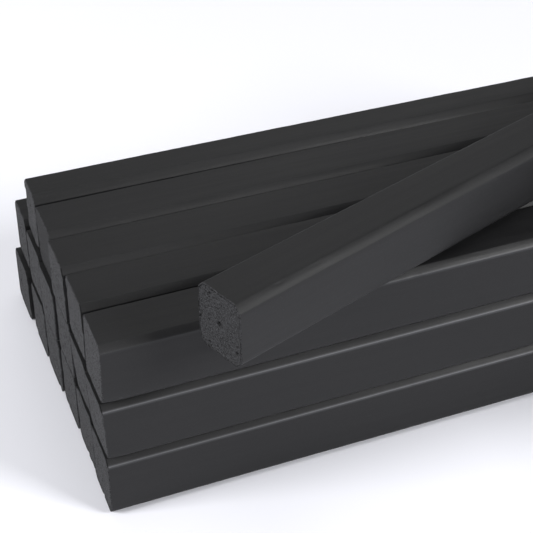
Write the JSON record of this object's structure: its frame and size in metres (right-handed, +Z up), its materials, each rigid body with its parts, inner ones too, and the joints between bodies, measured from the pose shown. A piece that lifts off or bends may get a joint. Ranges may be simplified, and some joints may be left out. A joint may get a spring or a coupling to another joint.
{
  "type": "square charcoal drawing sticks, stacked",
  "caption": "Stack of square-section charcoal drawing sticks with bevelled long edges and square-cut ends, and a loose stick lying askew on top.",
  "frame": {"origin": "centre of the underside of the third bottom stick, on the surface that the set rests on", "axes": "+X along the stacked sticks, +Y from the front of the stack to its rear, +Z up"},
  "size_m": [0.1065, 0.0554, 0.032],
  "materials": {
    "charcoal": "matt black-grey, faintly sheened on the pressed sides, rough and porous on the cut ends"
  },
  "bodies": {
    "bottom_stick_1_body": {"bottom_stick_1": "charcoal"},
    "bottom_stick_2_body": {"bottom_stick_2": "charcoal"},
    "stack_base": {"bottom_stick_3": "charcoal"},
    "bottom_stick_4_body": {"bottom_stick_4": "charcoal"},
    "bottom_stick_5_body": {"bottom_stick_5": "charcoal"},
    "bottom_stick_6_body": {"bottom_stick_6": "charcoal"},
    "middle_stick_1_body": {"middle_stick_1": "charcoal"},
    "middle_stick_2_body": {"middle_stick_2": "charcoal"},
    "middle_stick_3_body": {"middle_stick_3": "charcoal"},
    "middle_stick_4_body": {"middle_stick_4": "charcoal"},
    "middle_stick_5_body": {"middle_stick_5": "charcoal"},
    "middle_stick_6_body": {"middle_stick_6": "charcoal"},
    "top_stick_1_body": {"top_stick_1": "charcoal"},
    "top_stick_2_body": {"top_stick_2": "charcoal"},
    "top_stick_3_body": {"top_stick_3": "charcoal"},
    "top_stick_4_body": {"top_stick_4": "charcoal"},
    "top_stick_5_body": {"top_stick_5": "charcoal"},
    "crossing_stick_body": {"crossing_stick": "charcoal"}
  },
  "joints": [
    {"name": "bottom_stick_1_draw", "type": "slide", "parent": "stack_base", "child": "bottom_stick_1_body", "axis": [-1, 0, 0], "range_m": [0, 0.1]},
    {"name": "bottom_stick_2_draw", "type": "slide", "parent": "stack_base", "child": "bottom_stick_2_body", "axis": [-1, 0, 0], "range_m": [0, 0.1]},
    {"name": "bottom_stick_4_draw", "type": "slide", "parent": "stack_base", "child": "bottom_stick_4_body", "axis": [-1, 0, 0], "range_m": [0, 0.1]},
    {"name": "bottom_stick_5_draw", "type": "slide", "parent": "stack_base", "child": "bottom_stick_5_body", "axis": [-1, 0, 0], "range_m": [0, 0.1]},
    {"name": "bottom_stick_6_draw", "type": "slide", "parent": "stack_base", "child": "bottom_stick_6_body", "axis": [-1, 0, 0], "range_m": [0, 0.1]},
    {"name": "middle_stick_1_draw", "type": "slide", "parent": "stack_base", "child": "middle_stick_1_body", "axis": [-1, 0, 0], "range_m": [0, 0.1]},
    {"name": "middle_stick_2_draw", "type": "slide", "parent": "stack_base", "child": "middle_stick_2_body", "axis": [-1, 0, 0], "range_m": [0, 0.1]},
    {"name": "middle_stick_3_draw", "type": "slide", "parent": "stack_base", "child": "middle_stick_3_body", "axis": [-1, 0, 0], "range_m": [0, 0.1]},
    {"name": "middle_stick_4_draw", "type": "slide", "parent": "stack_base", "child": "middle_stick_4_body", "axis": [-1, 0, 0], "range_m": [0, 0.1]},
    {"name": "middle_stick_5_draw", "type": "slide", "parent": "stack_base", "child": "middle_stick_5_body", "axis": [-1, 0, 0], "range_m": [0, 0.1]},
    {"name": "middle_stick_6_draw", "type": "slide", "parent": "stack_base", "child": "middle_stick_6_body", "axis": [-1, 0, 0], "range_m": [0, 0.1]},
    {"name": "top_stick_1_draw", "type": "slide", "parent": "stack_base", "child": "top_stick_1_body", "axis": [-1, -0.0021, 0], "range_m": [0, 0.1]},
    {"name": "top_stick_2_draw", "type": "slide", "parent": "stack_base", "child": "top_stick_2_body", "axis": [-1, 0, 0], "range_m": [0, 0.1]},
    {"name": "top_stick_3_draw", "type": "slide", "parent": "stack_base", "child": "top_stick_3_body", "axis": [-1, 0, 0], "range_m": [0, 0.1]},
    {"name": "top_stick_4_draw", "type": "slide", "parent": "stack_base", "child": "top_stick_4_body", "axis": [-1, 0, 0], "range_m": [0, 0.1]},
    {"name": "top_stick_5_draw", "type": "slide", "parent": "stack_base", "child": "top_stick_5_body", "axis": [-1, 0.0079, 0], "range_m": [0, 0.1]},
    {"name": "crossing_stick_lift", "type": "slide", "parent": "stack_base", "child": "crossing_stick_body", "axis": [0, 0, 1], "range_m": [0, 0.1]}
  ]
}
